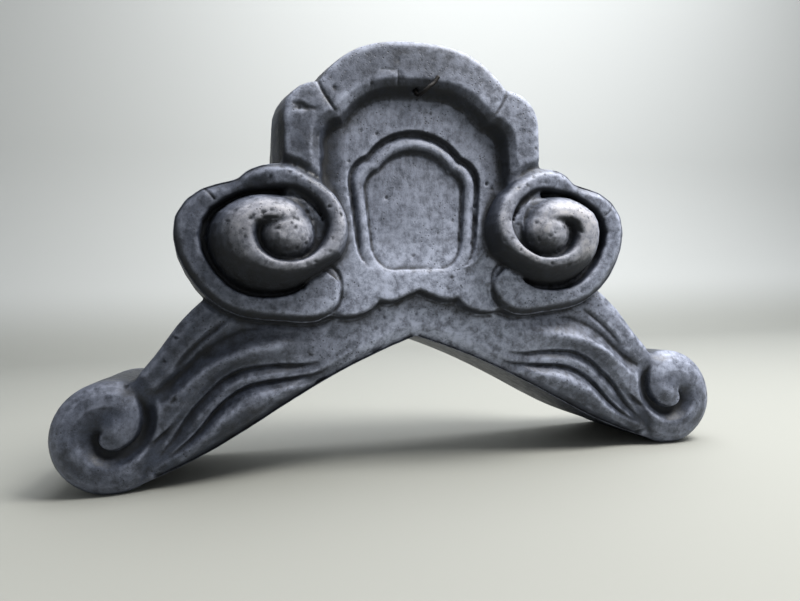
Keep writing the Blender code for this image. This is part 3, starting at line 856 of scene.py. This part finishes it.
    @staticmethod
    def edge_pairs(mesh: bpy.types.Mesh) -> np.ndarray:
        """The two vertex numbers of every edge.

        Args:
            mesh: The mesh to read.

        Returns:
            An array with a row for each edge.
        """
        edges = np.empty(len(mesh.edges) * 2, int)
        mesh.edges.foreach_get("vertices", edges)
        return edges.reshape(-1, 2)

    def work_over(self, body: bpy.types.Object) -> None:
        """Press every stroke, dent, swell and hand-made unevenness into the surface.

        Marks move only the front, and nothing passes the blank's own box. The back edge and the
        undersides of the feet stay flat.

        Args:
            body: The ironed blank.
        """
        mesh = body.data
        spots, normals = self.places(mesh)
        drawn = np.column_stack([spots[:, 0], spots[:, 2] + WORN_FOOT])
        front = step_up(-normals[:, 1], 0.15, 0.6)
        depth = np.zeros(len(spots))
        for stroke in self.strokes:
            depth += self.stroke_depth(stroke, drawn)
        for dent in (*self.dents, *self.kiln_pits()):
            reach = 1.4 * max(dent.along, dent.across)
            near = np.flatnonzero((np.abs(drawn - (dent.x, dent.z)) < reach).all(1))
            depth[near] += self.dent_depth(dent, drawn[near])
        for swell in self.swells:
            depth -= self.swell_height(swell, drawn)
        uneven = sum(self.lumps(kind, spots) for kind in self.uneven)
        keep = step_up(self.back_edge - spots[:, 1], 0, 3) * step_up(spots[:, 2], 0.4, 3)
        moved = spots - normals * (uneven * keep)[:, None]
        moved[:, 1] += depth * front * keep
        moved = np.clip(moved, spots.min(0), spots.max(0))
        mesh.vertices.foreach_set("co", (moved * MM).ravel())
        mesh.update()

    def thin(self, body: bpy.types.Object) -> None:
        """Thin the mesh evenly to its number of triangles.

        Args:
            body: The worked body.
        """
        body.data.calc_loop_triangles()
        thinner = body.modifiers.new("Thin", "DECIMATE")
        thinner.ratio = min(1.0, self.triangles / len(body.data.loop_triangles))
        self.apply(body)

    @staticmethod
    def spread(values: np.ndarray, edges: np.ndarray, rounds: int) -> np.ndarray:
        """Average each vertex's value with its neighbours'.

        Args:
            values: One value for each vertex.
            edges: The vertex numbers of every edge.
            rounds: How many times to do it.

        Returns:
            The softened values.
        """
        count = len(values)
        ends = np.concatenate([edges[:, 0], edges[:, 1]])
        others = np.concatenate([edges[:, 1], edges[:, 0]])
        links = np.maximum(np.bincount(ends, minlength=count), 1)
        for _ in range(rounds):
            around = np.bincount(ends, weights=values[others], minlength=count) / links
            values = 0.5 * values + 0.5 * around
        return values

    def weather(self, body: bpy.types.Object) -> None:
        """Store the pale, dark, proud and scraped masks for the clay to read.

        Ridges and edges, the middle of the face and the crown are paler, the edges partly as painted
        highlight; painted light makes the half towards the light and the tops of the balls paler too.
        Painted shade, with some smoke black, darkens grooves and hollows, the left end, undersides
        and faces turned from the light.

        Args:
            body: The thinned body.
        """
        mesh, wear = body.data, self.wear
        spots, normals = self.places(mesh)
        edges = self.edge_pairs(mesh)

        def bulge(rounds: int) -> np.ndarray:
            """How far each vertex stands over its surroundings, in millimetres.

            Args:
                rounds: How widely the surroundings are averaged.

            Returns:
                A height for each vertex, below 0 in a hollow.
            """
            wide = np.column_stack([self.spread(spots[:, axis], edges, rounds) for axis in range(3)])
            return ((spots - wide) * normals).sum(1)

        fine, broad = bulge(6), bulge(60)
        rise = LEG_FACE_Y / MM - spots[:, 1]
        facing = step_up(-normals[:, 1], 0.2, 0.8)
        x, z = spots[:, 0], spots[:, 2] + WORN_FOOT
        # Paler around a spot in the lower middle of the face.
        pale_centre = np.exp(-((x - self.pale_centre_at[0]) / self.pale_centre_spread[0]) ** 2
                         - ((z - self.pale_centre_at[1]) / self.pale_centre_spread[1]) ** 2)
        middle = step_up(58 - np.abs(x), 0, 8) * step_up(z, 128, 140) * step_up(275 - z, 0, 8)
        crown = step_up(z, 232, 262)
        lit_half = step_up(x, -10, 90) * step_up(z, 22, 70)
        # Painted highlight on the tops of the balls.
        lit_ball_top = step_up(rise, 26, 38) * step_up(z, 158, 196)
        # Painted shade: faces turned from the light.
        turned_from_light = step_up(-(normals @ np.array(self.light_from)), -0.22, 0.42)
        # Painted shade on undersides.
        shaded_underside = step_up(-normals[:, 2], 0.5, 0.85) * step_up(rise, 0.5, 4)

        # Ridges and edges paler: partly real wearing, partly painted highlight.
        worn = wear.crests_and_edge_highlights * step_up(fine, 0.06, 0.30) * (0.25 + 0.75 * facing)
        worn += wear.broad_crests * step_up(broad, 0.3, 2.2)
        worn += facing * (wear.lit_ball_top * lit_ball_top + wear.pale_centre * pale_centre
                          + wear.middle * middle + wear.crown * crown + wear.lit_half * lit_half)
        # Painted shade on the left end.
        worn *= 1 - wear.shade_on_left * step_up(-x, 80, 160)
        # Painted shade on faces turned from the light, where they stand proud.
        worn *= 1 - wear.shade_away_from_light * turned_from_light * step_up(rise, 1, 8)
        worn = self.spread(np.clip(worn, 0, 1), edges, 1)

        # Painted shade, with some smoke black, in creases and hollows, on faces turned from the light
        # and on undersides.
        sooty = wear.shade_and_soot_in_creases * step_up(-fine, 0.03, 0.26)
        sooty += wear.shade_and_soot_in_hollows * step_up(-broad, 0.3, 2.1)
        sooty += turned_from_light * np.maximum(step_up(rise, 3, 10), shaded_underside)
        sooty = self.spread(np.clip(sooty, 0, 1), edges, 1)

        proud = step_up(rise, 24, 37)
        scraped = middle * facing
        for name, values in (("worn", worn), ("sooty", sooty), ("proud", proud),
                             ("scraped", scraped)):
            layer = mesh.attributes.new(name, "FLOAT", "POINT")
            layer.data.foreach_set("value", np.clip(values, 0, 1).astype(np.float32))

    def make(self, finish: bpy.types.Material) -> bpy.types.Object:
        """Build the body and dress it.

        Args:
            finish: The clay.

        Returns:
            The finished piece.
        """
        body = self.blank(bpy.data.objects[self.node])
        LOG.info("clay blank: %d vertices", len(body.data.vertices))
        self.iron_out(body)
        self.work_over(body)
        self.thin(body)
        self.weather(body)
        body.data.materials.clear()
        body.data.materials.append(finish)
        body.data.shade_smooth()
        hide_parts(self.node)
        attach(body, "root")
        LOG.info("clay body: %d faces", len(body.data.polygons))
        return body


@dataclass
class TieWire:
    """The stub of iron tie wire, bent out of its hole and along the rim.

    The radius is in metres. The route's points are drawn places with their rises.
    """

    node: str = "tie_wire"
    radius: float = 0.00145
    route: tuple[tuple[float, float, float], ...] = (
        (1.0, 276.0, 14.0), (1.4, 271.6, 16.0), (2.4, 269.4, 20.5), (5.0, 270.6, 24.6),
        (8.4, 273.8, 25.6), (12.0, 276.8, 25.0), (15.6, 281.8, 24.6))
    sides: int = 12
    steps: int = 60

    def make(self, finish: bpy.types.Material) -> bpy.types.Object:
        """Sweep a circle along the route.

        Args:
            finish: The iron.

        Returns:
            The finished piece.
        """
        points = smooth_route(self.route, self.steps)
        path = [face_point(*point) for point in points]
        shape = bmesh.new()
        first = bmesh.ops.create_circle(shape, cap_ends=False, segments=self.sides, radius=1.0)
        edges = shape.edges[:]
        turn = Vector((0, 0, 1)).rotation_difference((path[1] - path[0]).normalized())
        bmesh.ops.scale(shape, vec=(self.radius,) * 3, verts=first["verts"])
        bmesh.ops.rotate(shape, cent=(0, 0, 0), matrix=turn.to_matrix(), verts=first["verts"])
        bmesh.ops.translate(shape, vec=path[0], verts=first["verts"])
        bmesh.ops.edgeloop_fill(shape, edges=edges)
        run = (path[1] - path[0]).normalized()
        for n in range(1, len(path)):
            grown = bmesh.ops.extrude_edge_only(shape, edges=edges)["geom"]
            verts = [part for part in grown if isinstance(part, bmesh.types.BMVert)]
            edges = [part for part in grown if isinstance(part, bmesh.types.BMEdge)
                     and all(vert in verts for vert in part.verts)]
            after = (path[min(n + 1, len(path) - 1)] - path[n - 1]).normalized()
            bmesh.ops.translate(shape, vec=path[n] - path[n - 1], verts=verts)
            bmesh.ops.rotate(shape, cent=path[n], verts=verts,
                             matrix=run.rotation_difference(after).to_matrix())
            run = after
        bmesh.ops.edgeloop_fill(shape, edges=edges)
        bmesh.ops.recalc_face_normals(shape, faces=shape.faces)
        mesh = bpy.data.meshes.new("iron_stub")
        shape.to_mesh(mesh)
        shape.free()
        mesh.shade_smooth()
        mesh.materials.append(finish)
        wire = bpy.data.objects.new("iron_stub", mesh)
        bpy.context.scene.collection.objects.link(wire)
        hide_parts(self.node)
        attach(wire, "root")
        return wire


@dataclass
class Studio:
    """Floor, backdrop sweep, soft lights and the camera at the photograph's angle.

    Lengths are in metres, angles in degrees and the lens in millimetres.
    """

    camera_place: tuple[float, float, float] = (-0.1115, -0.464, 0.1152)
    heading: float = -13.0004
    pitch: float = 1.0
    roll: float = -1.9627
    lens: float = 27.0
    sensor: float = 36.0
    floor_width: float = 9.0
    floor_front: float = -3.5
    sweep_start: float = 1.3
    sweep_radius: float = 0.8
    sweep_steps: int = 12
    wall_height: float = 3.0
    room: str = "e6eaee"
    room_light: float = 0.42

    def camera(self) -> None:
        """Place the camera."""
        data = bpy.data.cameras.new("photo_camera")
        data.lens = self.lens
        data.sensor_width = self.sensor
        data.sensor_fit = "HORIZONTAL"
        data.clip_start = 0.01
        camera = bpy.data.objects.new("photo_camera", data)
        bpy.context.scene.collection.objects.link(camera)
        turn = (Matrix.Rotation(math.radians(self.heading), 4, "Z")
                @ Matrix.Rotation(math.radians(90 + self.pitch), 4, "X")
                @ Matrix.Rotation(math.radians(self.roll), 4, "Z"))
        camera.matrix_world = Matrix.Translation(self.camera_place) @ turn
        bpy.context.scene.camera = camera

    def floor(self, finish: bpy.types.Material) -> bpy.types.Object:
        """Build the floor and the sweep up behind it, from one extruded edge run.

        Args:
            finish: The paint.

        Returns:
            The floor.
        """
        shape = bmesh.new()
        half = self.floor_width / 2
        line = [shape.verts.new((-half, self.floor_front, 0)),
                shape.verts.new((-half, self.sweep_start, 0))]
        for n in range(1, self.sweep_steps + 1):
            angle = math.radians(90 * n / self.sweep_steps)
            line.append(shape.verts.new((-half,
                                         self.sweep_start + self.sweep_radius * math.sin(angle),
                                         self.sweep_radius * (1 - math.cos(angle)))))
        line.append(shape.verts.new((-half, self.sweep_start + self.sweep_radius, self.wall_height)))
        edges = [shape.edges.new(pair) for pair in zip(line, line[1:])]
        grown = bmesh.ops.extrude_edge_only(shape, edges=edges)["geom"]
        bmesh.ops.translate(shape, vec=(self.floor_width, 0, 0),
                            verts=[part for part in grown if isinstance(part, bmesh.types.BMVert)])
        bmesh.ops.recalc_face_normals(shape, faces=shape.faces)
        mesh = bpy.data.meshes.new("floor_sweep")
        shape.to_mesh(mesh)
        shape.free()
        mesh.shade_smooth()
        mesh.materials.append(finish)
        floor = bpy.data.objects.new("floor_sweep", mesh)
        bpy.context.scene.collection.objects.link(floor)
        return floor

    def lamp(self, name: str, place: tuple[float, float, float], aim: tuple[float, float, float],
             size: float, power: float, colour: str) -> None:
        """Add one soft area light.

        Args:
            name: Name of the light.
            place: Where it hangs.
            aim: The point that it faces.
            size: Side of its square.
            power: Watts.
            colour: Hex colour.
        """
        data = bpy.data.lights.new(name, "AREA")
        data.shape = "SQUARE"
        data.size = size
        data.energy = power
        data.color = linear(colour)[:3]
        light = bpy.data.objects.new(name, data)
        bpy.context.scene.collection.objects.link(light)
        light.location = place
        light.rotation_euler = (Vector(aim) - Vector(place)).to_track_quat("-Z", "Y").to_euler()

    def make(self, finish: bpy.types.Material) -> None:
        """Set the whole studio up.

        Args:
            finish: The floor's paint.
        """
        self.camera()
        self.floor(finish)
        self.lamp("window", (0.52, -0.40, 1.10), (0.02, 0.0, 0.16), 0.5, 22.0, "fffdfa")
        self.lamp("backdrop", (1.0, 0.7, 2.1), (1.05, 2.1, 0.55), 2.8, 96.0, "fafbff")
        world = bpy.data.worlds.new("soft_room")
        world.use_nodes = True
        back = world.node_tree.nodes["Background"]
        back.inputs["Color"].default_value = linear(self.room)
        back.inputs["Strength"].default_value = self.room_light
        bpy.context.scene.world = world
        bpy.context.scene.view_settings.view_transform = "Standard"


def main() -> None:
    """Build the tile and its studio in order."""
    logging.basicConfig(level=logging.INFO, format="%(message)s")
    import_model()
    Studio().make(PaintedFloor().make())
    LOG.info("studio done")
    ClayBody().make(SmokedClay().make())
    LOG.info("clay body done")
    TieWire().make(BlackIron().make())
    LOG.info("tie wire done")


if __name__ == "__main__":
    main()
